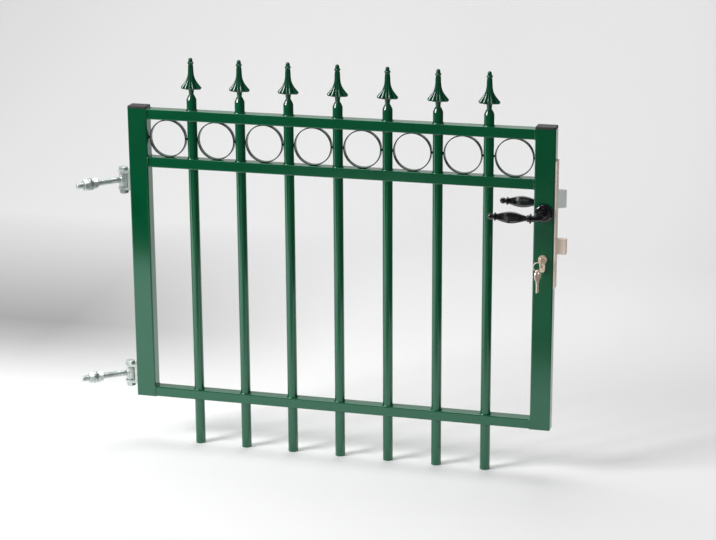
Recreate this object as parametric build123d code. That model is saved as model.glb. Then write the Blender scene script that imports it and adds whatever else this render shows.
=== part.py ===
from build123d import *
from math import cos, sin, radians, sqrt
import os

os.makedirs("parts", exist_ok=True)

# Ornamental garden gate leaf of welded steel tube, in millimetres.
# X runs along the leaf from the hinge side to the lock side, Y goes through it
# from the front to the back, and Z is up from the foot of the bars.
# Every piece is drawn with X = 0 on the hinge axis, and moved to the part's own
# frame when it is written, with its origin on the seat of the upper eye bolt.

past = 1.0  # how far a cut or a joined piece runs past a face

# Round bars
bar_count = 7
bar_pitch = 100.0
bar_diameter = 20.0
bar_wall = 1.5
bar_rise = 22.0  # above the top rail, up to the finial
foot_thickness = 1.5
end_bay_slack = 1.6  # by which the bays beside the stiles are wider than the others
bar_clearance = 0.15  # round a bar in a rail, and round a spigot in a bar

# Rails
rail_depth = 25.0
rail_height = 20.5
rail_wall = 1.5
rail_corner = 2.0
bottom_rail_level = 96.7  # underside of the bottom rail
middle_rail_level = 583.0
rail_gap = 77.0  # between the two upper rails

# Rings between the two upper rails
ring_clearance = 0.3
ring_width = 10.0
ring_thickness = 2.0

# Stiles
stile_width = 40.0
stile_depth = 28.0
stile_wall = 1.5
stile_corner = 3.0
stile_rise = 1.0  # above the top rail
cap_thickness = 4.5
cap_edge = 1.2
cap_plug_length = 14.0
cap_plug_wall = 2.0
cap_clearance = 0.2

# Finials, cast in one piece: spigot, shoulder, stem, eight-ribbed spear with two wings, ring and bud
spigot_length = 16.0
spigot_lead = 1.0
shoulder_height = 3.5
shoulder_diameter = 17.0
collar_height = 6.5
collar_diameter = 14.4
stem_level = 10.5
stem_diameter = 9.4
stem_top_diameter = 11.5
skirt_level = 21.0  # underside of the wings
skirt_edge = 3.0
skirt_height = 50.0  # from the wings' underside to the ring
# angle from the leaf's plane and radius, at the rim, of the ribs and of the grooves between them
rib_places = [(0, 21.5), (42, 14.5), (90, 10.5)]
groove_places = [(24, 13.0), (68, 8.5)]
spear_neck_radius = 4.7
groove_share = 0.9  # radius of the grooves at the neck, as a share of the neck's
# share of the height above the rim, and share of the flare left there
skirt_stations = [(0.0, 1.0), (0.13, 0.7), (0.255, 0.43), (0.43, 0.185), (0.66, 0.07), (1.0, 0.0)]
bud_root = 0.5  # by which the bud's root is thinner than the neck
bud_ring_diameter = 12.6
bud_ring_level = 1.4
bud_ring_width = 1.2
bud_level = 4.2
bud_diameter = 9.2
bud_height = 12.4
bud_tip_radius = 4.0
bud_slope = 20.0

# Adjustable hinges: a fork on the stile, a bolt for a pin and an eye bolt
upper_hinge_level = 552.0
lower_hinge_level = 140.5
hinge_offset = 18.0  # from the stile's face to the hinge axis
fork_thickness = 5.0
fork_half_width = 11.0
barrel_height = 29.0
barrel_diameter = 18.0
barrel_end_clearance = 0.4
pin_diameter = 10.0
pin_clearance = 0.1
pin_head_width = 17.0  # across flats
pin_head_height = 6.4
pin_nut_height = 8.0
pin_end = 2.0
pin_chamfer = 1.0
hexagon_face = 0.95  # turned face of a head or nut, as a share of its width
rod_diameter = 12.0
rod_length = 105.0  # from the hinge axis
rod_chamfer = 1.5
rod_nut_width = 19.0  # across flats
rod_nut_height = 10.0
rod_nut_distance = 61.0
rod_clearance = 0.05
washer_diameter = 24.0
washer_thickness = 2.5
washer_clearance = 0.2
post_gap = 4.5  # between the two washers
upper_bolt_angle = 49.0  # from the leaf's plane towards the front
lower_bolt_angle = 39.0

# Lock
backset = 20.0  # from the stile's outer face to spindle and cylinder
spindle_level = 539.0
cylinder_drop = 92.0
faceplate_width = 24.0
faceplate_height = 254.0
faceplate_thickness = 3.0
faceplate_drop = 152.0  # from the spindle to the plate's lower end
faceplate_corner = 2.0
case_depth = 33.0
case_thickness = 16.0
case_height = 195.0
case_drop = 127.0  # from the spindle to the case's lower end
case_wall = 1.5
case_clearance = 0.3
bolt_clearance = 0.3
bolt_thickness = 12.0
latch_rise = 9.0
latch_height = 35.0
latch_throw = 17.0
latch_nose = 3.0
latch_edge = 2.0
bolt_tail = 10.0
deadbolt_height = 30.0
deadbolt_throw = 20.0
deadbolt_gap = 1.0  # above the cylinder
deadbolt_chamfer = 0.8
spindle_width = 8.0
spindle_clearance = 0.1
spindle_hole = 14.0
spindle_end_gap = 1.0

# Profile cylinder and keys
cylinder_diameter = 17.0
cylinder_height = 33.0
cylinder_web = 10.0
cylinder_overhang = 7.0
cylinder_clearance = 0.3
plug_diameter = 13.0
plug_length = 22.0
plug_clearance = 0.1
blind_groove = 0.4  # round the plug's rear end
blind_groove_width = 0.3
blind_keyway_depth = 8.0
keyway_width = 2.7
keyway_height = 8.8
keyway_depth = 21.0
key_thickness = 2.3
key_blade_length = 20.0
key_blade_height = 8.2
key_shoulder_length = 4.0
key_shoulder_height = 10.5
key_bow_diameter = 23.0
key_hole_diameter = 6.5
key_rim = 3.0
key_cut_pitch = 3.6
key_cut_flat = 1.0
key_cut_margin = 2.0  # plain blade before the first cut
key_cut_depths = [1.3, 1.0, 2.0, 1.7]
ring_wire = 1.8
keyring_radius = 9.0
keyring_lean = 5.0
keyring_slack = 0.2
spare_key_turn = 20.0

# Lever handles
rose_diameter = 36.0
rose_edge = 2.5
rose_height = 9.0
rose_top_diameter = 24.0
rose_bulge = 1.5
rose_clearance = 0.3
hub_diameter = 16.0
hub_height = 15.0
neck_diameter = 12.5
neck_bend = 13.0
neck_overlap = 2.0
grip_offset = 48.0  # from the stile's face to the axis of the grip
lever_collar_start = 13.5  # from the spindle's axis, as all places along the grip
lever_collar_length = 8.0
lever_collar_diameter = 19.0
lever_bead_diameter = 13.5
lever_bead_length = 4.0
grip_sides = 8
# place along the grip, and diameter over the corners there
grip_stations = [(24.0, 10.0), (31.0, 12.5), (39.5, 17.5), (53.5, 22.5), (68.5, 19.5), (83.5, 11.0)]
end_collar_diameter = 16.0
end_collar_length = 3.5
end_collar_chamfer = 0.8
ball_diameter = 12.5
ball_neck_diameter = 9.5
ball_gap = 1.0  # from the end collar to the ball
socket_depth = 20.0

# Places worked out from the sizes
stile_outer = hinge_offset
stile_inner = stile_outer + stile_width
bay = bar_pitch - bar_diameter
end_bay = bay + end_bay_slack
end_space = end_bay + bar_diameter / 2  # from a stile to the nearest bar's axis
clear_width = (bar_count - 1) * bar_pitch + 2 * end_space
lock_inner = stile_inner + clear_width
lock_outer = lock_inner + stile_width
first_bar = stile_inner + end_space
bar_places = [first_bar + i * bar_pitch for i in range(bar_count)]
bay_centres = [stile_inner + end_bay / 2]
bay_centres += [x + bar_pitch / 2 for x in bar_places[:-1]]
bay_centres += [lock_inner - end_bay / 2]
ring_diameter = rail_gap - 2 * ring_clearance
ring_level = middle_rail_level + rail_height + rail_gap / 2
top_rail_level = middle_rail_level + rail_height + rail_gap
leaf_top = top_rail_level + rail_height
stile_top = leaf_top + stile_rise
finial_level = leaf_top + bar_rise
spindle_x = lock_outer - backset
cylinder_level = spindle_level - cylinder_drop
face = stile_depth / 2
seat_distance = rod_nut_distance + rod_nut_height + washer_thickness


def bolt_direction(angle):
    return Vector(-cos(radians(angle)), -sin(radians(angle)), 0)


seat = bolt_direction(upper_bolt_angle) * seat_distance
origin = Vector(seat.X, seat.Y, upper_hinge_level)


def write(name, *solids):
    # one file for each node, in the part's own frame
    moved = [Location(-origin) * solid for solid in solids]
    shape = moved[0] if len(moved) == 1 else Compound(children=moved)
    export_step(shape, f"parts/{name}.step")


def block(x0, x1, y0, y1, z0, z1):
    place = Location(((x0 + x1) / 2, (y0 + y1) / 2, (z0 + z1) / 2))
    return place * Box(x1 - x0, y1 - y0, z1 - z0)


def upright(radius, z0, z1, x=0.0, y=0.0):
    return Location((x, y, (z0 + z1) / 2)) * Cylinder(radius, z1 - z0)


def through(radius, x, z, y0, y1):
    # a cylinder along Y
    place = Location((x, (y0 + y1) / 2, z), (90, 0, 0))
    return place * Cylinder(radius, y1 - y0)


def hexagon_blank(width, height, both_ends):
    # a hexagon from Z = 0 up, with its corners turned off at 30 degrees
    corner = width / sqrt(3)
    turned = hexagon_face * width / 2
    drop = (corner - turned) / sqrt(3)
    foot = [(turned, 0), (corner, drop)] if both_ends else [(corner, 0)]
    outline = Polyline((0, 0), *foot, (corner, height - drop), (turned, height), (0, height), close=True)
    prism = extrude(RegularPolygon(width / 2, 6, major_radius=False), height)
    return prism & revolve(Plane.XZ * make_face(outline), Axis.Z)


# Stiles: rectangular tube with rounded corners, closed at the foot by a welded plate
def stile(x_centre):
    outline = RectangleRounded(stile_width, stile_depth, stile_corner)
    hollow = RectangleRounded(
        stile_width - 2 * stile_wall, stile_depth - 2 * stile_wall, stile_corner - stile_wall
    )
    low = Location((x_centre, 0, bottom_rail_level))
    inside = Location((x_centre, 0, bottom_rail_level + stile_wall))
    height = stile_top - bottom_rail_level
    return low * extrude(outline, height) - inside * extrude(hollow, height)


def stile_cap(x_centre):
    outline = RectangleRounded(stile_width, stile_depth, stile_corner)
    lid = extrude(outline, cap_thickness)
    lid = chamfer(lid.faces().sort_by(Axis.Z)[-1].edges(), cap_edge)
    plug_width = stile_width - 2 * stile_wall - 2 * cap_clearance
    plug_depth = stile_depth - 2 * stile_wall - 2 * cap_clearance
    plug = RectangleRounded(plug_width, plug_depth, stile_corner - stile_wall)
    core = Rectangle(plug_width - 2 * cap_plug_wall, plug_depth - 2 * cap_plug_wall)
    tongue = extrude(plug - core, -cap_plug_length)
    return Location((x_centre, 0, stile_top)) * (lid + tongue)


# Rails: rectangular tube between the stiles, drilled for the bars that pass through it
def rail(level):
    outline = RectangleRounded(rail_depth, rail_height, rail_corner)
    hollow = RectangleRounded(
        rail_depth - 2 * rail_wall, rail_height - 2 * rail_wall, rail_corner - rail_wall
    )
    start = Plane(origin=(stile_inner, 0, level + rail_height / 2), x_dir=(0, 1, 0), z_dir=(1, 0, 0))
    tube = extrude(start * (outline - hollow), clear_width)
    hole_radius = bar_diameter / 2 + bar_clearance
    for x in bar_places:
        tube -= upright(hole_radius, level - past, level + rail_height + past, x)
    return tube


# Bars: round tube with a closed foot, open at the top for the finial's spigot
def bar(x):
    tube = upright(bar_diameter / 2, 0, finial_level, x)
    return tube - upright(bar_diameter / 2 - bar_wall, foot_thickness, finial_level + past, x)


def ring(x):
    band = Cylinder(ring_diameter / 2, ring_width) - Cylinder(
        ring_diameter / 2 - ring_thickness, ring_width
    )
    return Location((x, 0, ring_level), (90, 0, 0)) * band


# Finials: the spear's outline is a rosette of round ribs with a sharp groove between each two
def all_round(places):
    # the places of one quarter, from the leaf's plane to the front, turned into all four
    turned = {turn + sign * angle: radius for angle, radius in places for turn, sign in ((0, 1), (180, -1))}
    turned.update({(-angle) % 360: radius for angle, radius in list(turned.items())})
    return sorted(turned.items())


def rosette(level, flare, inset):
    grooves = all_round(groove_places)
    ribs = all_round(rib_places)
    groove_radius = spear_neck_radius * groove_share
    low = [
        Vector(groove_radius + flare * (radius - groove_radius) - inset, 0).rotate(Axis.Z, angle)
        for angle, radius in grooves
    ]
    high = [
        Vector(spear_neck_radius + flare * (radius - spear_neck_radius) - inset, 0).rotate(Axis.Z, angle)
        for angle, radius in ribs
    ]
    arcs = [ThreePointArc(low[i - 1], high[i], low[i]) for i in range(len(high))]
    return Location((0, 0, level)) * make_face(Wire(arcs))


def finial(x):
    bar_radius = bar_diameter / 2
    spigot_radius = bar_radius - bar_wall - bar_clearance
    rim_level = skirt_level + skirt_edge
    neck_level = skirt_level + skirt_height
    stem_top_radius = stem_top_diameter / 2
    foot = Polyline(
        (0, -spigot_length),
        (spigot_radius - spigot_lead, -spigot_length),
        (spigot_radius, spigot_lead - spigot_length),
        (spigot_radius, 0),
        (bar_radius, 0),
        (shoulder_diameter / 2, shoulder_height),
        (collar_diameter / 2, collar_height),
        (stem_diameter / 2, stem_level),
        (stem_top_radius, skirt_level),
        (stem_top_radius, rim_level),
        (0, rim_level),
        close=True,
    )
    stem = revolve(Plane.XZ * make_face(foot), Axis.Z)
    underside = loft([rosette(skirt_level, 1.0, skirt_edge / 2), rosette(rim_level, 1.0, 0.0)])
    spear_height = neck_level - rim_level
    skirt = loft([rosette(rim_level + along * spear_height, flare, 0.0) for along, flare in skirt_stations])
    ring_radius = bud_ring_diameter / 2
    ring_low = neck_level + bud_ring_level
    bud_top = neck_level + bud_height
    slopes = [radians(bud_slope), radians(45 + bud_slope / 2)]
    dome_start, dome_middle = [
        (bud_tip_radius * cos(angle), bud_top - bud_tip_radius * (1 - sin(angle))) for angle in slopes
    ]
    root = neck_level - past
    root_radius = spear_neck_radius - bud_root
    sides = [
        (0, root),
        (root_radius, root),
        (ring_radius, ring_low),
        (ring_radius, ring_low + bud_ring_width),
        (bud_diameter / 2, neck_level + bud_level),
        dome_start,
    ]
    bud_outline = [Line(sides[i], sides[i + 1]) for i in range(len(sides) - 1)]
    bud_outline.append(ThreePointArc(dome_start, dome_middle, (0, bud_top)))
    bud_outline.append(Line((0, bud_top), (0, root)))
    bud = revolve(Plane.XZ * make_face(bud_outline), Axis.Z)
    head = underside + (skirt + bud)
    return Location((x, 0, finial_level)) * (head + stem)


# Hinges
fork_gap = barrel_height + 2 * barrel_end_clearance
fork_height = fork_gap + 2 * fork_thickness


def hinge_fork(level):
    ear = Circle(fork_half_width) + Location((hinge_offset / 2, 0)) * Rectangle(
        hinge_offset, 2 * fork_half_width
    )
    body = Location((0, 0, -fork_height / 2)) * extrude(ear, fork_height)
    web_face = hinge_offset - fork_thickness
    body -= block(-2 * fork_half_width, web_face, -stile_depth, stile_depth, -fork_gap / 2, fork_gap / 2)
    body -= Cylinder(pin_diameter / 2 + pin_clearance, 2 * fork_height)
    return Location((0, 0, level)) * body


def hinge_pin(level):
    top = fork_height / 2
    end = -top - pin_nut_height - pin_end
    shank = upright(pin_diameter / 2, end, top)
    shank = chamfer(shank.faces().sort_by(Axis.Z)[0].edges(), pin_chamfer)
    head = Location((0, 0, top)) * hexagon_blank(pin_head_width, pin_head_height, False)
    return Location((0, 0, level)) * (shank + head)


def pin_nut(level):
    low = -fork_height / 2 - pin_nut_height
    nut = hexagon_blank(pin_head_width, pin_nut_height, True)
    nut -= Cylinder(pin_diameter / 2 + rod_clearance, 3 * pin_nut_height)
    return Location((0, 0, level + low)) * nut


def along_bolt(level, angle, distance):
    # a place on the rod's axis, with local Z pointing away from the hinge
    direction = bolt_direction(angle)
    return Plane(origin=direction * distance + Vector(0, 0, level), x_dir=(0, 0, 1), z_dir=direction)


def eye_bolt(level, angle):
    barrel = upright(barrel_diameter / 2, level - barrel_height / 2, level + barrel_height / 2)
    start = (barrel_diameter + pin_diameter) / 4 + pin_clearance
    rod = extrude(along_bolt(level, angle, start) * Circle(rod_diameter / 2), rod_length - start)
    tip = rod.faces().sort_by(Axis((0, 0, level), bolt_direction(angle)))[-1]
    rod = chamfer(tip.edges(), rod_chamfer)
    bore = upright(pin_diameter / 2 + pin_clearance, level - barrel_height, level + barrel_height)
    return barrel + rod - bore


def post_nuts(level, angle):
    nut = hexagon_blank(rod_nut_width, rod_nut_height, True)
    nut -= Cylinder(rod_diameter / 2 + rod_clearance, 3 * rod_nut_height)
    second = seat_distance + post_gap + washer_thickness
    return [along_bolt(level, angle, distance) * nut for distance in (rod_nut_distance, second)]


def post_washers(level, angle):
    outline = Circle(washer_diameter / 2) - Circle(rod_diameter / 2 + washer_clearance)
    return [
        extrude(along_bolt(level, angle, distance) * outline, washer_thickness)
        for distance in (seat_distance - washer_thickness, seat_distance + post_gap)
    ]


# Lock: case in the stile, faceplate on its outer side, latch and deadbolt
def cylinder_outline(growth):
    radius = cylinder_diameter / 2 + growth
    half_web = cylinder_web / 2 + growth
    end_centre = cylinder_height - cylinder_diameter / 2 - cylinder_web / 2
    web = Location((0, -end_centre / 2)) * Rectangle(2 * half_web, end_centre)
    return Circle(radius) + web + Location((0, -end_centre)) * Circle(half_web)


def cylinder_prism(growth, y0, y1):
    # the profile stands upright, and runs along Y from y0 to y1
    start = Plane(origin=(spindle_x, y0, cylinder_level), x_dir=(-1, 0, 0), z_dir=(0, 1, 0))
    return extrude(start * cylinder_outline(growth), y1 - y0)


def lock_cutouts(solid, spindle_radius):
    solid -= through(spindle_radius, spindle_x, spindle_level, -stile_depth, stile_depth)
    return solid - cylinder_prism(cylinder_clearance, -stile_depth, stile_depth)


case_bottom = spindle_level - case_drop
case_top = case_bottom + case_height


def lock_stile():
    tube = stile(lock_inner + stile_width / 2)
    half = case_thickness / 2 + case_clearance
    tube -= block(
        lock_outer - 2 * stile_wall - past,
        lock_outer + past,
        -half,
        half,
        case_bottom - case_clearance,
        case_top + case_clearance,
    )
    return lock_cutouts(tube, hub_diameter / 2 + rose_clearance)


def lock_case():
    half = case_thickness / 2
    x0 = lock_outer - case_depth
    case = block(x0, lock_outer, -half, half, case_bottom, case_top)
    case -= block(
        x0 + case_wall,
        lock_outer + past,
        case_wall - half,
        half - case_wall,
        case_bottom + case_wall,
        case_top - case_wall,
    )
    return lock_cutouts(case, spindle_hole / 2)


latch_level = spindle_level + latch_rise
deadbolt_level = cylinder_level + cylinder_diameter / 2 + deadbolt_gap
plate_face = lock_outer + faceplate_thickness


def lock_faceplate():
    half = faceplate_width / 2
    bottom = spindle_level - faceplate_drop
    plate = block(lock_outer, plate_face, -half, half, bottom, bottom + faceplate_height)
    plate = fillet(plate.edges().filter_by(Axis.X), faceplate_corner)
    slot = bolt_thickness / 2 + bolt_clearance
    for level, height in ((latch_level, latch_height), (deadbolt_level, deadbolt_height)):
        foot = level - bolt_clearance
        head = level + height + bolt_clearance
        plate -= block(lock_outer - past, plate_face + past, -slot, slot, foot, head)
    return plate


def latch_bolt():
    # the head slopes back on the front side, where it meets the strike
    half = bolt_thickness / 2
    outline = Polyline(
        (lock_outer - bolt_tail, -half),
        (plate_face + latch_nose, -half),
        (plate_face + latch_throw, half - latch_edge),
        (plate_face + latch_throw, half),
        (lock_outer - bolt_tail, half),
        close=True,
    )
    return Location((0, 0, latch_level)) * extrude(make_face(outline), latch_height)


def deadbolt():
    half = bolt_thickness / 2
    solid = block(
        lock_outer - bolt_tail,
        plate_face + deadbolt_throw,
        -half,
        half,
        deadbolt_level,
        deadbolt_level + deadbolt_height,
    )
    return chamfer(solid.faces().sort_by(Axis.X)[-1].edges(), deadbolt_chamfer)


def spindle():
    half = spindle_width / 2
    reach = face + socket_depth - spindle_end_gap
    return block(
        spindle_x - half, spindle_x + half, -reach, reach, spindle_level - half, spindle_level + half
    )


cylinder_face = face + cylinder_overhang


def keyway(y0, y1):
    half_width = keyway_width / 2
    half_height = keyway_height / 2
    return block(
        spindle_x - half_width,
        spindle_x + half_width,
        y0,
        y1,
        cylinder_level - half_height,
        cylinder_level + half_height,
    )


def cylinder_body():
    body = cylinder_prism(0, -cylinder_face, cylinder_face)
    bore_end = plug_length + 2 * plug_clearance - cylinder_face
    bore_radius = plug_diameter / 2 + plug_clearance
    body -= through(bore_radius, spindle_x, cylinder_level, -cylinder_face - past, bore_end)
    groove_start = cylinder_face - blind_groove
    groove_end = cylinder_face + past
    groove = through(bore_radius, spindle_x, cylinder_level, groove_start, groove_end)
    core_radius = bore_radius - plug_clearance - blind_groove_width
    groove -= through(core_radius, spindle_x, cylinder_level, 0, groove_end)
    return body - groove - keyway(cylinder_face - blind_keyway_depth, groove_end)


def key_plug():
    plug = through(
        plug_diameter / 2, spindle_x, cylinder_level, -cylinder_face, plug_length - cylinder_face
    )
    return plug - keyway(-cylinder_face - past, keyway_depth - cylinder_face)


# Keys lie in the local XY plane: the blade along +X from the shoulder, the bow towards -X
bow_radius = key_bow_diameter / 2
bow_centre = past - key_shoulder_length - bow_radius
key_hole_centre = bow_centre - bow_radius + key_rim + key_hole_diameter / 2


def key_solid():
    blade = Location((key_blade_length / 2, 0)) * Rectangle(key_blade_length, key_blade_height)
    shoulder = Location((-key_shoulder_length / 2, 0)) * Rectangle(
        key_shoulder_length, key_shoulder_height
    )
    bow = Location((bow_centre, 0)) * Circle(bow_radius)
    hole = Location((key_hole_centre, 0)) * Circle(key_hole_diameter / 2)
    outline = blade + shoulder + bow - hole
    edge = key_blade_height / 2
    for i, depth in enumerate(key_cut_depths):
        x = key_cut_margin + (i + 0.5) * key_cut_pitch
        notch = Polyline(
            (x - key_cut_pitch / 2, edge + past),
            (x - key_cut_pitch / 2, edge),
            (x - key_cut_flat / 2, edge - depth),
            (x + key_cut_flat / 2, edge - depth),
            (x + key_cut_pitch / 2, edge),
            (x + key_cut_pitch / 2, edge + past),
            close=True,
        )
        outline -= make_face(notch)
    return Location((0, 0, -key_thickness / 2)) * extrude(outline, key_thickness)


def door_key():
    # upright in the cylinder, its bow standing out in front
    place = Plane(
        origin=(spindle_x, -cylinder_face, cylinder_level), x_dir=(0, 1, 0), z_dir=(1, 0, 0)
    )
    return place * key_solid()


key_hole_y = -cylinder_face + key_hole_centre
lean_slope = keyring_lean / sqrt(keyring_radius**2 - keyring_lean**2)
wire_reach = ring_wire / 2 * sqrt(1 + lean_slope**2) + key_thickness / 2 * lean_slope
wire_level = cylinder_level - key_hole_diameter / 2 + wire_reach + keyring_slack
keyring_level = wire_level - sqrt(keyring_radius**2 - keyring_lean**2)
keyring_x = spindle_x - keyring_lean


def key_ring():
    return Location((keyring_x, key_hole_y, keyring_level), (90, 0, 0)) * Torus(
        keyring_radius, ring_wire / 2
    )


def spare_key():
    hole_top = keyring_level - keyring_radius + ring_wire / 2 + keyring_slack
    hole_level = hole_top - key_hole_diameter / 2
    turn = radians(spare_key_turn)
    place = Plane(
        origin=(keyring_x, key_hole_y, hole_level), x_dir=(0, 0, -1), z_dir=(cos(turn), -sin(turn), 0)
    )
    return place * (Location((-key_hole_centre, 0, 0)) * key_solid())


# Handles: a fixed round rose, and a lever with a faceted baluster grip
def rose():
    radius = rose_diameter / 2
    bore = hub_diameter / 2 + rose_clearance
    top = rose_top_diameter / 2
    bulge = ((radius + top) / 2 + rose_bulge, (rose_edge + rose_height) / 2 + rose_bulge)
    half = make_face(
        [
            Line((bore, 0), (radius, 0)),
            Line((radius, 0), (radius, rose_edge)),
            ThreePointArc((radius, rose_edge), bulge, (top, rose_height)),
            Line((top, rose_height), (bore, rose_height)),
            Line((bore, rose_height), (bore, 0)),
        ]
    )
    solid = revolve(Plane.XZ * half, Axis.Z)
    return Plane(origin=(spindle_x, -face, spindle_level), x_dir=(1, 0, 0), z_dir=(0, -1, 0)) * solid


def along_grip(distance):
    # a place on the grip's axis, with local Z pointing to its free end
    return Plane(origin=(-distance, -grip_offset, 0), x_dir=(0, 0, 1), z_dir=(-1, 0, 0))


def turned_collar():
    # two beads and a disc between them, turned on the neck
    neck = neck_diameter / 2
    bead = lever_bead_diameter / 2
    disc = lever_collar_diameter / 2
    step = lever_collar_length / 4
    outline = Polyline(
        (0, 0),
        (neck, 0),
        (bead, step / 2),
        (bead, step),
        (disc, step * 1.5),
        (disc, step * 2.5),
        (bead, step * 3),
        (bead, step * 3.5),
        (neck, lever_collar_length),
        (0, lever_collar_length),
        close=True,
    )
    return along_grip(lever_collar_start) * revolve(Plane.XZ * make_face(outline), Axis.Z)


def lever_neck():
    # out of the rose, round a bend and along the grip's axis
    grip_start = grip_stations[0][0]
    hub = extrude(
        Plane(origin=(0, -rose_clearance, 0), x_dir=(1, 0, 0), z_dir=(0, -1, 0)) * Circle(hub_diameter / 2),
        hub_height,
    )
    hub_step = (hub_diameter - neck_diameter) / 2
    hub = chamfer(hub.faces().sort_by(Axis.Y)[0].edges(), hub_step * hexagon_face)
    root = neck_overlap - hub_height
    bend_start = (0, neck_bend - grip_offset, 0)
    bend_end = (-neck_bend, -grip_offset, 0)
    path = Line((0, root, 0), bend_start)
    path += RadiusArc(bend_start, bend_end, neck_bend)
    path += Line(bend_end, (-lever_collar_start - past, -grip_offset, 0))
    start = Plane(origin=(0, root, 0), x_dir=(1, 0, 0), z_dir=(0, -1, 0))
    neck = sweep(start * Circle(neck_diameter / 2), path=path)
    thin = extrude(
        along_grip(lever_collar_start + past) * Circle(grip_stations[0][1] / 2),
        grip_start - lever_collar_start,
    )
    bead_centre = (lever_collar_start + lever_collar_length + grip_start) / 2
    bead = along_grip(bead_centre) * Cylinder(lever_bead_diameter / 2, lever_bead_length / 2)
    bead = fillet(bead.edges().filter_by(GeomType.CIRCLE), lever_bead_length / 5)
    return hub + neck + thin + bead


def lever_end():
    # collar and ball beyond the grip
    grip_end = grip_stations[-1][0]
    collar = along_grip(grip_end + end_collar_length / 2) * Cylinder(
        end_collar_diameter / 2, end_collar_length
    )
    collar = chamfer(collar.edges().filter_by(GeomType.CIRCLE), end_collar_chamfer)
    ball_centre = grip_end + end_collar_length + ball_gap + ball_diameter / 2
    stub = extrude(along_grip(grip_end) * Circle(ball_neck_diameter / 2), ball_centre - grip_end)
    return collar + stub + along_grip(ball_centre) * Sphere(ball_diameter / 2)


def front_lever():
    # drawn with the spindle axis at X = Z = 0 and the stile's face at Y = 0
    outlines = [
        along_grip(distance) * RegularPolygon(diameter / 2, grip_sides, rotation=180 / grip_sides)
        for distance, diameter in grip_stations
    ]
    lever = lever_neck() + turned_collar() + loft(outlines) + lever_end()
    half = spindle_width / 2 + spindle_clearance
    return lever - block(-half, half, -socket_depth, past, -half, half)


def placed_lever(lever):
    return Location((spindle_x, -face, spindle_level)) * lever


write("upper_eye_bolt", eye_bolt(upper_hinge_level, upper_bolt_angle))
write("upper_post_nuts", *post_nuts(upper_hinge_level, upper_bolt_angle))
write("upper_post_washers", *post_washers(upper_hinge_level, upper_bolt_angle))
write("lower_eye_bolt", eye_bolt(lower_hinge_level, lower_bolt_angle))
write("lower_post_nuts", *post_nuts(lower_hinge_level, lower_bolt_angle))
write("lower_post_washers", *post_washers(lower_hinge_level, lower_bolt_angle))

write("hinge_stile", stile(stile_outer + stile_width / 2))
write("lock_stile", lock_stile())
write("stile_caps", stile_cap(stile_outer + stile_width / 2), stile_cap(lock_inner + stile_width / 2))
write("bottom_rail", rail(bottom_rail_level))
write("middle_rail", rail(middle_rail_level))
write("top_rail", rail(top_rail_level))
for number, place in enumerate(bar_places, start=1):
    write(f"bar_{number}", bar(place))
    write(f"finial_{number}", finial(place))
write("ring_row", *[ring(place) for place in bay_centres])

write("upper_hinge_fork", hinge_fork(upper_hinge_level))
write("lower_hinge_fork", hinge_fork(lower_hinge_level))
write("upper_hinge_pin", hinge_pin(upper_hinge_level))
write("lower_hinge_pin", hinge_pin(lower_hinge_level))
write("pin_nuts", pin_nut(upper_hinge_level), pin_nut(lower_hinge_level))

write("lock_case", lock_case())
write("lock_faceplate", lock_faceplate())
write("latch_bolt", latch_bolt())
write("deadbolt", deadbolt())
write("cylinder_body", cylinder_body())
write("key_plug", key_plug())
write("door_key", door_key())
write("key_ring", key_ring())
write("spare_key", spare_key())

lever = placed_lever(front_lever())
write("handle_roses", rose(), mirror(rose(), Plane.XZ))
write("front_lever", lever)
write("rear_lever", mirror(lever, Plane.XZ))
write("spindle", spindle())
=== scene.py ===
from math import atan2, cos, hypot, pi, radians, sin

import bpy
from mathutils import Matrix, Vector


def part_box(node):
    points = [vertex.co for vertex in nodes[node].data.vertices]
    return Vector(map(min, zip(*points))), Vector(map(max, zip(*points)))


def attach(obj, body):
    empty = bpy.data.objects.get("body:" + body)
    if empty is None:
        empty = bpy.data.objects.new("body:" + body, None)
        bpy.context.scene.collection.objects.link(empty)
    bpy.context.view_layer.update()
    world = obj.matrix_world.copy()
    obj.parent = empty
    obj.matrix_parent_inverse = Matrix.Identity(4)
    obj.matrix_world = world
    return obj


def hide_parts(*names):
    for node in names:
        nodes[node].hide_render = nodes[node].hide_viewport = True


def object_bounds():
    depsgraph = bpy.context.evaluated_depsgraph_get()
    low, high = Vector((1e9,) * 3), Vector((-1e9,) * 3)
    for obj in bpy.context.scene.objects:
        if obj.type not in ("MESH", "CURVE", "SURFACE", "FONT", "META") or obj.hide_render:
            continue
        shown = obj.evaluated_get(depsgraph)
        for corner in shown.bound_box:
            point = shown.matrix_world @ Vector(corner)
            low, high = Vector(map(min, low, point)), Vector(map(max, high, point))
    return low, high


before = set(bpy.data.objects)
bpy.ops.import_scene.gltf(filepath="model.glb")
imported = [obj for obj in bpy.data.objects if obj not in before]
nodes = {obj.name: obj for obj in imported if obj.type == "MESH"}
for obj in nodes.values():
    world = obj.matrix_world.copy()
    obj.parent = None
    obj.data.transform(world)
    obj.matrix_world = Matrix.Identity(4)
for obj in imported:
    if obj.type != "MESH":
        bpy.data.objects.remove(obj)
cad_low, cad_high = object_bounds()


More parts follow.
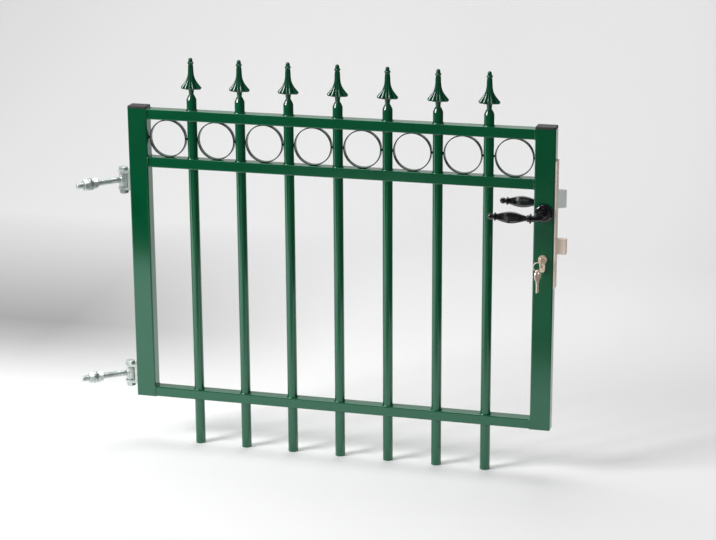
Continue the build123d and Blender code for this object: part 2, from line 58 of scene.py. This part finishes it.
# Green leaf: welded steel tube and cast finials, blasted and powder coated in one
# green coat. The coat flows to a gloss with a fine orange peel, and is a little
# thinner and paler in clouds.
class Shade:
    """A socket in a material's nodes. Operators add Math nodes, and node() adds any other."""

    def __init__(self, tree, socket=None):
        self.tree = tree
        self.socket = socket

    def node(self, kind, inputs=None, output=0, **settings):
        made = self.tree.nodes.new(kind)
        for name, value in settings.items():
            setattr(made, name, value)
        for name, value in (inputs or {}).items():
            if isinstance(value, Shade):
                self.tree.links.new(value.socket, made.inputs[name])
            else:
                made.inputs[name].default_value = value
        return Shade(self.tree, made.outputs[output])

    def math(self, operation, *values):
        return self.node("ShaderNodeMath", dict(enumerate(values)), operation=operation)

    def __add__(self, other):
        return self.math("ADD", self, other)

    def __radd__(self, other):
        return self.math("ADD", other, self)

    def __sub__(self, other):
        return self.math("SUBTRACT", self, other)

    def __rsub__(self, other):
        return self.math("SUBTRACT", other, self)

    def __mul__(self, other):
        return self.math("MULTIPLY", self, other)

    def __rmul__(self, other):
        return self.math("MULTIPLY", other, self)

    def noise(self, scale, detail=2.0, roughness=0.5, stretch=(1.0, 1.0, 1.0)):
        """Noise on Object coordinates, in metres, from 0 to 1."""
        place = self.node("ShaderNodeTexCoord", output="Object")
        turned = self.node("ShaderNodeMapping", {"Vector": place, "Scale": stretch})
        return self.node(
            "ShaderNodeTexNoise",
            {"Vector": turned, "Scale": scale, "Detail": detail, "Roughness": roughness},
        )

    def spread(self, low, high):
        """This value, from low to high, stretched over 0 to 1 and held there."""
        return self.node(
            "ShaderNodeMapRange", {"Value": self, "From Min": low, "From Max": high}, clamp=True
        )

    def tint(self, first, second):
        """A colour between two others, by this value."""
        return self.node(
            "ShaderNodeMix", {0: self, 6: (*first, 1.0), 7: (*second, 1.0)}, output=2, data_type="RGBA"
        )

    def bump(self, strength, depth):
        """A surface raised by depth metres where this value is 1."""
        inputs = {"Height": self, "Strength": strength, "Distance": depth}
        return self.node("ShaderNodeBump", inputs)


def finish(name, **fixed):
    """A material with its shader's constants set. Returns it, its Shade and its shader."""
    material = bpy.data.materials.new(name)
    material.use_nodes = True
    tree = material.node_tree
    shader = tree.nodes["Principled BSDF"]
    for socket, value in fixed.items():
        shader.inputs[socket.replace("_", " ")].default_value = value
    return material, Shade(tree), shader


def feed(shader, **links):
    """Links a Shade to each named socket of a shader."""
    for socket, value in links.items():
        value.tree.links.new(value.socket, shader.inputs[socket.replace("_", " ")])


green_coat, shade, shader = finish(
    "green_powder_coat", IOR=1.88, Specular_Tint=(0.68, 1.0, 0.9, 1.0)
)
cloud = shade.noise(14.0, 3.0)
peel = shade.noise(620.0, 1.0, 0.4)
feed(
    shader,
    Base_Color=cloud.spread(0.3, 0.7).tint((0.0, 0.076, 0.0265), (0.0, 0.089, 0.0315)),
    Roughness=0.09 + 0.06 * cloud,
    Normal=peel.bump(0.3, 0.00003),
)


def dress(material, *names):
    """Gives CAD nodes that material."""
    for name in names:
        nodes[name].data.materials.clear()
        nodes[name].data.materials.append(material)


bars = [f"bar_{i}" for i in range(1, 8)]
finials = [f"finial_{i}" for i in range(1, 8)]
rails = ["bottom_rail", "middle_rail", "top_rail"]
dress(green_coat, "hinge_stile", "lock_stile", *rails, *bars)

# Finials and rings: cast spears and rings rolled from flat bar, in the same coat. On the finials it
# is set a little darker, and rougher over the cast skin; on the rings it is painted much darker, as
# painted shade.
cast_coat, shade, shader = finish("green_coat_on_casting", IOR=1.7)
cloud = shade.noise(60.0, 3.0)
sand = shade.noise(420.0, 3.0, 0.6)
feed(
    shader,
    Base_Color=cloud.spread(0.3, 0.7).tint((0.0, 0.056, 0.023), (0.002, 0.078, 0.033)),
    Roughness=0.14 + 0.12 * cloud,
    Normal=sand.bump(0.35, 0.00012),
)
dress(cast_coat, *finials)
# painted shade: the rings' coat is painted much darker than the leaf's
ring_coat_painted_shade, shade, shader = finish("green_coat_on_rings_painted_shade", IOR=1.6)
cloud = shade.noise(60.0, 3.0)
feed(
    shader,
    Base_Color=cloud.spread(0.3, 0.7).tint((0.0, 0.024, 0.01), (0.0, 0.04, 0.017)),
    Roughness=0.16 + 0.1 * cloud,
)
dress(ring_coat_painted_shade, "ring_row")


# Welds: the bars stand in the rails, the rails butt against the stiles and the rings are
# tacked to the bars and rails, all with small fillet welds that are coated with the leaf.
def piece(name, body, material):
    """The active object as a finished piece: its place goes into its mesh, and it rides that body."""
    made = bpy.context.object
    bpy.ops.object.transform_apply(location=True, rotation=True, scale=True)
    made.name = name
    made.data.name = name
    made.data.materials.clear()
    made.data.materials.append(material)
    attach(made, body)
    return made


def copy_to(first, name, move):
    """A copy of a finished piece with its own mesh, moved by that vector."""
    made = first.copy()
    made.data = first.data.copy()
    made.data.transform(Matrix.Translation(move))
    made.name = name
    made.data.name = name
    bpy.context.scene.collection.objects.link(made)
    return made


def roughen(offset, seed):
    """Moves the vertices of the active object a little in and out, as a weld pool sets."""
    bpy.ops.object.mode_set(mode="EDIT")
    bpy.ops.mesh.select_all(action="SELECT")
    bpy.ops.transform.vertex_random(offset=offset, uniform=0.2, normal=0.8, seed=seed)
    bpy.ops.mesh.vertices_smooth(factor=0.4, repeat=1)
    bpy.ops.object.mode_set(mode="OBJECT")
    bpy.ops.object.shade_smooth()


def middle(name):
    """The middle of a CAD node's box."""
    low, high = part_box(name)
    return (low + high) / 2


bpy.ops.object.select_all(action="DESELECT")
bar_low, bar_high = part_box("bar_1")
bar_radius = (bar_high.x - bar_low.x) / 2
bead = 0.0017
home = middle("bar_1")
home.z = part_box("top_rail")[1].z
bpy.ops.mesh.primitive_torus_add(
    location=home,
    major_segments=64,
    minor_segments=10,
    major_radius=bar_radius + 0.0004,
    minor_radius=bead,
)
roughen(0.00035, 4)
bar_weld = piece("bar_weld_1_top_rail_above", "leaf", green_coat)
for rail in rails:
    rail_low, rail_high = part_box(rail)
    for number, bar in enumerate(bars, start=1):
        for side, level in (("above", rail_high.z), ("below", rail_low.z)):
            name = f"bar_weld_{number}_{rail}_{side}"
            if name != bar_weld.name:
                place = middle(bar)
                place.z = level
                copy_to(bar_weld, name, place - home)

# a fillet round the end of a rail: a rounded rectangle of weld bead
rail_low, rail_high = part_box("top_rail")
home = Vector((rail_low.x, middle("top_rail").y, middle("top_rail").z))
bpy.ops.mesh.primitive_plane_add(size=1.0, location=home, rotation=(0.0, pi / 2, 0.0))
bpy.context.object.scale = (rail_high.z - rail_low.z, rail_high.y - rail_low.y, 1.0)
bpy.ops.object.transform_apply(location=False, rotation=False, scale=True)
bpy.ops.object.mode_set(mode="EDIT")
bpy.ops.mesh.select_all(action="SELECT")
bpy.ops.mesh.bevel(offset=0.003, segments=5, affect="VERTICES")
bpy.ops.mesh.select_all(action="SELECT")
bpy.ops.mesh.delete(type="ONLY_FACE")
bpy.ops.mesh.select_all(action="SELECT")
bpy.ops.mesh.subdivide(number_cuts=3)
bpy.ops.object.mode_set(mode="OBJECT")
bpy.ops.object.convert(target="CURVE")
bpy.context.object.data.bevel_depth = 0.0017
bpy.context.object.data.bevel_resolution = 2
bpy.ops.object.convert(target="MESH")
roughen(0.0003, 8)
rail_weld = piece("rail_weld_top_rail_hinge_end", "leaf", green_coat)
for rail in rails:
    rail_low, rail_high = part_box(rail)
    for end, x in (("hinge", rail_low.x), ("lock", rail_high.x)):
        name = f"rail_weld_{rail}_{end}_end"
        if name != rail_weld.name:
            place = middle(rail)
            place.x = x
            copy_to(rail_weld, name, place - home)

# a tack between a ring and the bar or stile beside it, and one under and over each ring
ring_low, ring_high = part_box("ring_row")
rings = 8
ring_radius = (ring_high.z - ring_low.z) / 2
pitch = middle("bar_2").x - middle("bar_1").x
first_ring = ring_low.x + ring_radius
last_ring = ring_high.x - ring_radius
centres = [first_ring] + [middle(bar).x + pitch / 2 for bar in bars[:-1]] + [last_ring]
posts = [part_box("hinge_stile")[1].x] + [middle(bar).x + bar_radius for bar in bars]
far_posts = [middle(bar).x - bar_radius for bar in bars] + [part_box("lock_stile")[0].x]
ring_level = middle("ring_row").z
leaf_y = middle("ring_row").y
home = Vector((centres[0] - ring_radius, leaf_y, ring_level))
bpy.ops.mesh.primitive_uv_sphere_add(segments=20, ring_count=12, radius=0.0024, location=home)
bpy.context.object.scale = (0.75, 1.0, 1.1)
roughen(0.0003, 12)
side_tack = piece("ring_tack_1_hinge_side", "leaf", green_coat)
home.x = (centres[0] - ring_radius + posts[0]) / 2
side_tack.data.transform(Matrix.Translation((home.x - centres[0] + ring_radius, 0.0, 0.0)))
for number in range(rings):
    near = (centres[number] - ring_radius + posts[number]) / 2
    far = (centres[number] + ring_radius + far_posts[number]) / 2
    for side, x in (("hinge", near), ("lock", far)):
        name = f"ring_tack_{number + 1}_{side}_side"
        if name != side_tack.name:
            copy_to(side_tack, name, (x - home.x, 0.0, 0.0))
home = Vector((centres[0], leaf_y, ring_high.z))
bpy.ops.mesh.primitive_uv_sphere_add(segments=20, ring_count=12, radius=0.005, location=home)
bpy.context.object.scale = (1.4, 0.8, 0.26)
roughen(0.0003, 15)
rail_tack = piece("ring_tack_1_top", "leaf", green_coat)
for number in range(rings):
    for side, level in (("top", ring_high.z), ("foot", ring_low.z)):
        name = f"ring_tack_{number + 1}_{side}"
        if name != rail_tack.name:
            copy_to(rail_tack, name, (centres[number] - home.x, 0.0, level - home.z))

# Stile caps: injection-moulded black plastic, pressed into the open tops of the stiles.
cap_plastic, shade, shader = finish("cap_plastic")
grain = shade.noise(900.0, 3.0, 0.6)
scuff = shade.noise(60.0, 4.0, 0.7)
feed(
    shader,
    Base_Color=scuff.spread(0.35, 0.75).tint((0.022, 0.018, 0.019), (0.046, 0.038, 0.04)),
    Roughness=0.42 + 0.16 * scuff,
    Normal=grain.bump(0.5, 0.00006),
)
dress(cap_plastic, "stile_caps")

# Hinges: turned and threaded steel, bright zinc plated after the forks were bent. The
# eye bolts are modelled anew, with the rolled M12 thread that the plain rod leaves out.
zinc_plate, shade, shader = finish("zinc_plate", Metallic=0.65)
cloud = shade.noise(90.0, 4.0, 0.6)
spangle = shade.noise(700.0, 2.0, 0.6)
feed(
    shader,
    Base_Color=cloud.spread(0.3, 0.7).tint((0.5, 0.56, 0.54), (0.72, 0.77, 0.74)),
    Roughness=0.26 + 0.2 * spangle,
    Normal=spangle.bump(0.25, 0.00005),
)
plated = [f"{end}_{part}" for end in ("upper", "lower") for part in (
    "eye_bolt", "post_nuts", "post_washers", "hinge_fork", "hinge_pin")]
dress(zinc_plate, *plated, "pin_nuts")

thread_pitch = 0.00175
crest, root, tip_radius = 0.00596, 0.00492, 0.0045
neck_start, rod_start, rod_end = 0.0065, 0.0295, 0.105
barrel_radius, neck_radius = 0.009, 0.006
lip, wall_to_bore = 0.0006, 0.0033
turns = int((rod_end - rod_start) / thread_pitch) + 2


def thread(length):
    """A threaded rod up from the origin, closed at both ends and chamfered at the top."""
    profile = [(root, 0.0), (root, 0.12), (crest, 0.42), (crest, 0.58), (root, 0.88), (root, 1.0)]
    mesh = bpy.data.meshes.new("thread")
    points = [(radius, 0.0, (share - 1.0) * thread_pitch) for radius, share in profile]
    mesh.from_pydata(points, [(i, i + 1) for i in range(len(points) - 1)], [])
    made = bpy.data.objects.new("thread", mesh)
    bpy.context.scene.collection.objects.link(made)
    bpy.ops.object.select_all(action="DESELECT")
    bpy.context.view_layer.objects.active = made
    made.select_set(True)
    bpy.ops.object.modifier_add(type="SCREW")
    screw = made.modifiers["Screw"]
    screw.angle = 2 * pi
    screw.screw_offset = thread_pitch
    screw.iterations = turns
    screw.steps = 28
    screw.render_steps = 28
    screw.use_merge_vertices = True
    screw.merge_threshold = 0.00001
    bpy.ops.object.modifier_apply(modifier="Screw")
    bpy.ops.object.mode_set(mode="EDIT")
    bpy.ops.mesh.select_all(action="SELECT")
    bpy.ops.mesh.remove_doubles(threshold=0.00001)
    for level, away in ((0.0, -1.0), (length, 1.0)):
        bpy.ops.mesh.select_all(action="SELECT")
        bpy.ops.mesh.bisect(
            plane_co=(0.0, 0.0, level), plane_no=(0.0, 0.0, away), use_fill=True, clear_outer=True
        )
    bpy.ops.mesh.select_all(action="SELECT")
    bpy.ops.mesh.normals_make_consistent(inside=False)
    bpy.ops.object.mode_set(mode="OBJECT")
    for vertex in made.data.vertices:
        cone = tip_radius + length - vertex.co.z
        radius = hypot(vertex.co.x, vertex.co.y)
        if radius > cone:
            vertex.co.x *= cone / radius
            vertex.co.y *= cone / radius
    bpy.ops.object.shade_smooth_by_angle(angle=radians(25))
    return made


def eye_bolt(end):
    """Barrel with a bevelled bore, plain neck and threaded rod, turned to where the CAD rod lies."""
    axis = middle(f"{end}_hinge_pin")
    axis.z = middle(f"{end}_eye_bolt").z
    low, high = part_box(f"{end}_eye_bolt")
    tip = middle(f"{end}_post_washers") - axis
    turn = atan2(tip.y, tip.x)
    bpy.ops.object.select_all(action="DESELECT")
    bpy.ops.mesh.primitive_cylinder_add(
        vertices=64, radius=barrel_radius, depth=high.z - low.z, location=(0.0, 0.0, 0.0)
    )
    barrel = bpy.context.object
    bpy.ops.object.mode_set(mode="EDIT")
    bpy.ops.mesh.select_mode(type="FACE")
    bpy.ops.mesh.select_all(action="DESELECT")
    bpy.ops.object.mode_set(mode="OBJECT")
    for face in barrel.data.polygons:
        face.select = abs(face.normal.z) > 0.9
    bpy.ops.object.mode_set(mode="EDIT")
    bpy.ops.mesh.inset(thickness=lip)
    bpy.ops.mesh.inset(thickness=wall_to_bore)
    bpy.ops.mesh.bridge_edge_loops()
    bpy.ops.mesh.select_all(action="SELECT")
    bpy.ops.mesh.normals_make_consistent(inside=False)
    bpy.ops.object.mode_set(mode="OBJECT")
    bpy.ops.object.modifier_add(type="BEVEL")
    barrel.modifiers["Bevel"].width = 0.0005
    barrel.modifiers["Bevel"].segments = 3
    bpy.ops.object.modifier_apply(modifier="Bevel")
    bpy.ops.object.shade_smooth_by_angle(angle=radians(30))
    bpy.ops.mesh.primitive_cylinder_add(
        vertices=48,
        radius=neck_radius,
        depth=rod_start - neck_start,
        location=((rod_start + neck_start) / 2, 0.0, 0.0),
        rotation=(0.0, pi / 2, 0.0),
    )
    neck = bpy.context.object
    bpy.ops.object.transform_apply(location=True, rotation=True, scale=True)
    bpy.ops.object.mode_set(mode="EDIT")
    bpy.ops.mesh.select_all(action="SELECT")
    bpy.ops.mesh.bevel(offset=0.0008, segments=3, affect="EDGES")
    bpy.ops.object.mode_set(mode="OBJECT")
    bpy.ops.object.shade_smooth_by_angle(angle=radians(30))
    bpy.ops.mesh.primitive_torus_add(
        major_segments=48, minor_segments=10, major_radius=0.0066, minor_radius=0.0016,
        location=(0.0068, 0.0, 0.0), rotation=(0.0, pi / 2, 0.0),
    )
    roughen(0.0002, 21)
    collar = bpy.context.object
    rod = thread(rod_end - rod_start)
    rod.rotation_euler = (0.0, pi / 2, 0.0)
    rod.location = (rod_start, 0.0, 0.0)
    bpy.ops.object.select_all(action="DESELECT")
    for part in (neck, collar, rod, barrel):
        part.select_set(True)
    bpy.context.view_layer.objects.active = barrel
    bpy.ops.object.join()
    barrel.rotation_euler = (0.0, 0.0, turn)
    barrel.location = axis
    made = piece(f"{end}_threaded_eye_bolt", f"{end}_bolt", zinc_plate)
    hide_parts(f"{end}_eye_bolt")


eye_bolt("upper")
eye_bolt("lower")

# Lock: a folded steel case hidden in the stile, a latch of plated steel, and a faceplate
# and deadbolt with a brushed nickel plate that is a little warmer.
lock_steel, shade, shader = finish("lock_steel", Metallic=0.1)
brushed = shade.noise(260.0, 3.0, 0.6, (1.0, 1.0, 0.04))
feed(
    shader,
    Base_Color=brushed.spread(0.3, 0.7).tint((0.86, 0.92, 0.89), (0.95, 0.99, 0.96)),
    Roughness=0.38 + 0.14 * brushed,
    Normal=brushed.bump(0.2, 0.00005),
)
dress(lock_steel, "lock_case", "latch_bolt", "spindle")
faceplate_nickel, shade, shader = finish("faceplate_nickel", Metallic=0.15)
brushed = shade.noise(260.0, 3.0, 0.6, (1.0, 1.0, 0.04))
feed(
    shader,
    Base_Color=brushed.spread(0.3, 0.7).tint((0.92, 0.76, 0.65), (1.0, 0.87, 0.75)),
    Roughness=0.38 + 0.14 * brushed,
    Normal=brushed.bump(0.2, 0.00005),
)
dress(faceplate_nickel, "lock_faceplate", "deadbolt")

# Cylinder and keys: sawn and milled brass with a warm nickel plate.
nickel_brass, shade, shader = finish("nickel_brass", Metallic=0.4)
rub = shade.noise(240.0, 3.0, 0.6)
feed(
    shader,
    Base_Color=rub.spread(0.35, 0.7).tint((0.86, 0.68, 0.54), (0.98, 0.86, 0.72)),
    Roughness=0.24 + 0.16 * rub,
    Normal=rub.bump(0.2, 0.00005),
)
dress(nickel_brass, "cylinder_body", "key_plug", "door_key", "key_ring", "spare_key")

# Handles: die-cast levers and roses in a black gloss coat.
black_coat, shade, shader = finish("black_coat", IOR=1.75)
cloud = shade.noise(50.0, 3.0)
peel = shade.noise(900.0, 1.0, 0.4)
feed(
    shader,
    Base_Color=cloud.spread(0.3, 0.7).tint((0.0035, 0.0035, 0.005), (0.009, 0.009, 0.012)),
    Roughness=0.07 + 0.07 * cloud,
    Normal=peel.bump(0.25, 0.00003),
)
dress(black_coat, "handle_roses", "front_lever", "rear_lever")

# Studio: a sheet of pale paper that rises behind the gate, in a dim room. Shade is painted into the
# paper: it is painted dark in front, outside the picture, as painted shade standing for the dim room,
# a little darker towards the back, and a painted shadow lies on it at the left. Every ray sees the
# same paper and room.
floor_level = cad_low.z


def sweep(name, profile, x0, x1):
    """A sheet along X with that outline in Y and Z."""
    points = [(x, y, z) for x in (x0, x1) for y, z in profile]
    count = len(profile)
    faces = [(i, i + 1, count + i + 1, count + i) for i in range(count - 1)]
    mesh = bpy.data.meshes.new(name)
    mesh.from_pydata(points, [], [face[::-1] for face in faces])
    mesh.shade_smooth()
    made = bpy.data.objects.new(name, mesh)
    bpy.context.scene.collection.objects.link(made)
    return made


wall = 3.2
cove = 1.6
cove_steps = 24
sheet_front = -2.15
profile = [(sheet_front, floor_level), (wall - cove, floor_level)]
profile += [
    (
        wall - cove + cove * sin(i / cove_steps * pi / 2),
        floor_level + cove * (1 - cos(i / cove_steps * pi / 2)),
    )
    for i in range(1, cove_steps + 1)
]
profile += [(wall, floor_level + 5.0)]
backdrop = sweep("backdrop", profile, -2.2, 1.5)
paper, shade, shader = finish("paper", Roughness=0.9)
shader.inputs["Specular IOR Level"].default_value = 0.0
place = shade.node("ShaderNodeTexCoord", output="Object")
across = shade.node("ShaderNodeSeparateXYZ", {"Vector": place}, output=0)
along = shade.node("ShaderNodeSeparateXYZ", {"Vector": place}, output=1)
# painted shade: dark in front at both sides, a little darker towards the back, and a painted shadow at
# the left
painted_shade_front_right = across.spread(0.0, 0.4) * (1.0 - along.spread(-0.75, -0.4))
painted_shade_front_left = (1.0 - across.spread(-0.4, 0.1)) * (1.0 - along.spread(-1.3, -1.2))
painted_shade_behind = along.spread(0.3, 0.9) * (1.0 - across.spread(0.3, 0.9))
shadow = (1.0 - across.spread(-0.4, 0.3)) * along.spread(0.25, 0.75) * (1.0 - along.spread(0.6, 1.7))
lit = (1.0 - 0.72 * painted_shade_front_right) * (1.0 - painted_shade_front_left) * (1.0 - 0.08 * painted_shade_behind) * (1.0 - 0.68 * shadow)
feed(shader, Base_Color=lit.tint((0.0, 0.0, 0.0), (0.86, 0.86, 0.86)))
backdrop.data.materials.append(paper)

scene = bpy.context.scene
scene.view_settings.view_transform = "Standard"
world = bpy.data.worlds.new("studio")
world.use_nodes = True
world.node_tree.nodes["Background"].inputs["Color"].default_value = (0.5, 0.5, 0.5, 1.0)
world.node_tree.nodes["Background"].inputs["Strength"].default_value = 0.12
scene.world = world


def lamp(name, place, target, width, height, power):
    data = bpy.data.lights.new(name, "AREA")
    data.shape = "RECTANGLE"
    data.size = width
    data.size_y = height
    data.energy = power
    made = bpy.data.objects.new(name, data)
    made.location = place
    made.rotation_euler = (Vector(target) - Vector(place)).to_track_quat("-Z", "Y").to_euler()
    scene.collection.objects.link(made)
    return made


lamp("key_lamp", (-2.2, -1.9, 1.9), (0.5, 0.0, -0.2), 1.5, 1.5, 147.0)
lamp("left_lamp", (-2.4, 0.2, 0.7), (0.5, 0.0, -0.1), 1.6, 1.8, 7.0)
lamp("top_lamp", (0.0, 0.9, 2.6), (0.2, 0.6, -0.5), 2.4, 2.0, 60.0)
fill = lamp("fill_lamp", (3.0, -1.4, 0.8), (0.9, 0.0, -0.1), 1.2, 1.2, 20.0)
fill.visible_glossy = False

# camera: yaw to the left, pitch down and roll, from the vanishing lines of bars and rails
yaw, pitch, roll = radians(15.0625), radians(16.2957), radians(0.2961)
forward = Vector((-sin(yaw) * cos(pitch), cos(yaw) * cos(pitch), -sin(pitch)))
level = Vector((cos(yaw), sin(yaw), 0.0))
down = forward.cross(level)
right = cos(roll) * level + sin(roll) * down
below = cos(roll) * down - sin(roll) * level
turn = Matrix((right, -below, -forward)).transposed().to_4x4()
camera = bpy.data.objects.new("camera", bpy.data.cameras.new("camera"))
scene.collection.objects.link(camera)
camera.matrix_world = Matrix.Translation((1.55957, -3.74358, 0.99345)) @ turn
camera.data.sensor_width = 36.0
camera.data.lens = 103.99
scene.camera = camera
